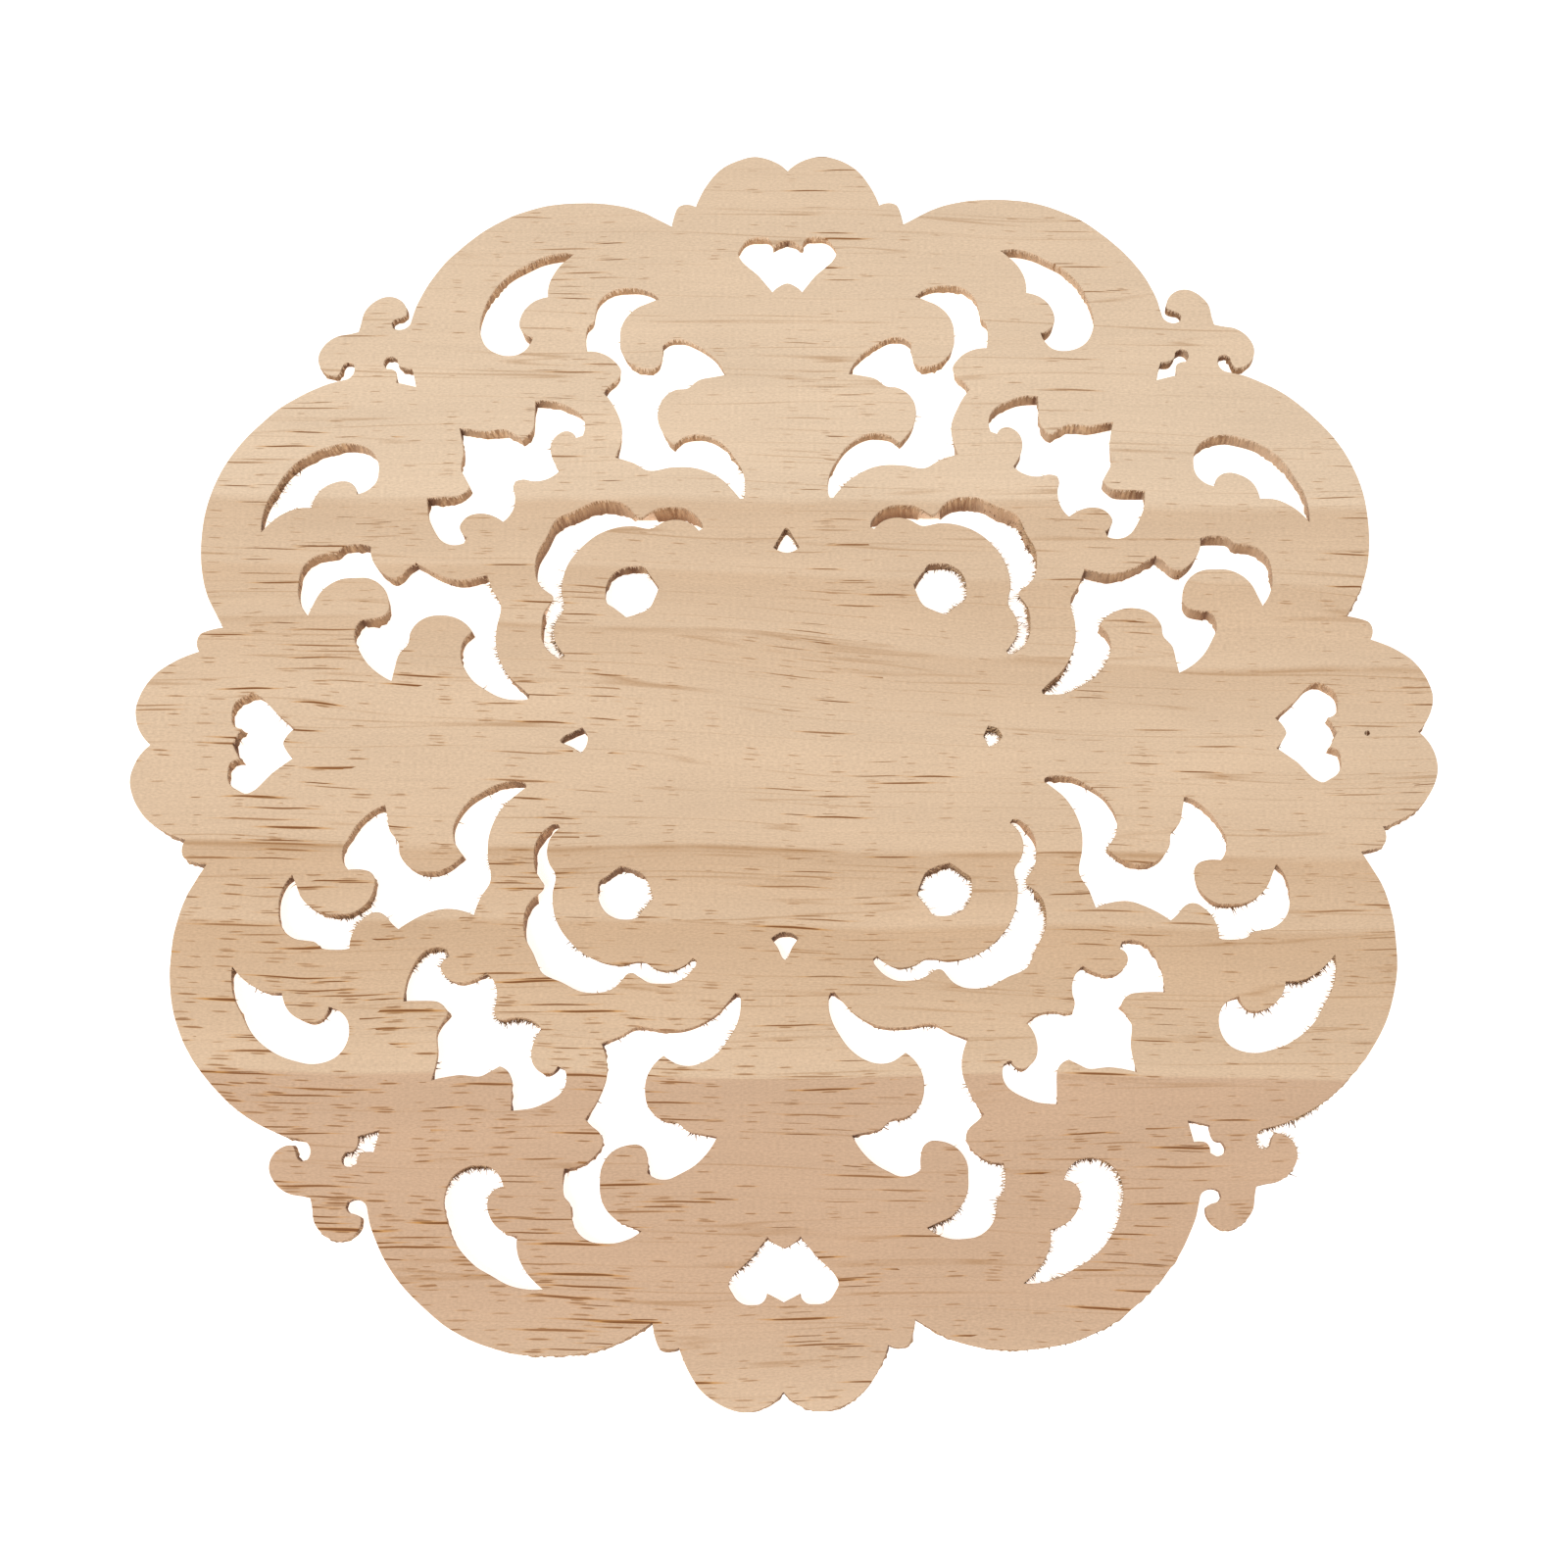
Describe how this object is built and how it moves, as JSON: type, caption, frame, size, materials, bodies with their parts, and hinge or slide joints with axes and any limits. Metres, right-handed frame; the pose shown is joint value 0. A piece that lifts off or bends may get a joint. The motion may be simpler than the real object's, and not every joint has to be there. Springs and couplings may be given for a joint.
{
  "type": "furniture onlay",
  "caption": "Round pierced wooden onlay of scrolling leaves around a low carved dome, flat on its back so that it can be glued or pinned to furniture or a panel.",
  "frame": {"origin": "centre of the flat glue face", "axes": "+Z out of the flat glue face, the carved front faces -Z, +X and +Y along two of the outline's axes of symmetry, wood grain along X"},
  "size_m": [0.3, 0.3, 0.01],
  "materials": {
    "bare_wood": "bare pale hardwood, sanded flat on the glue face, sawn on the edges, unfinished"
  },
  "bodies": {
    "root": {"onlay": "bare_wood"}
  },
  "joints": []
}
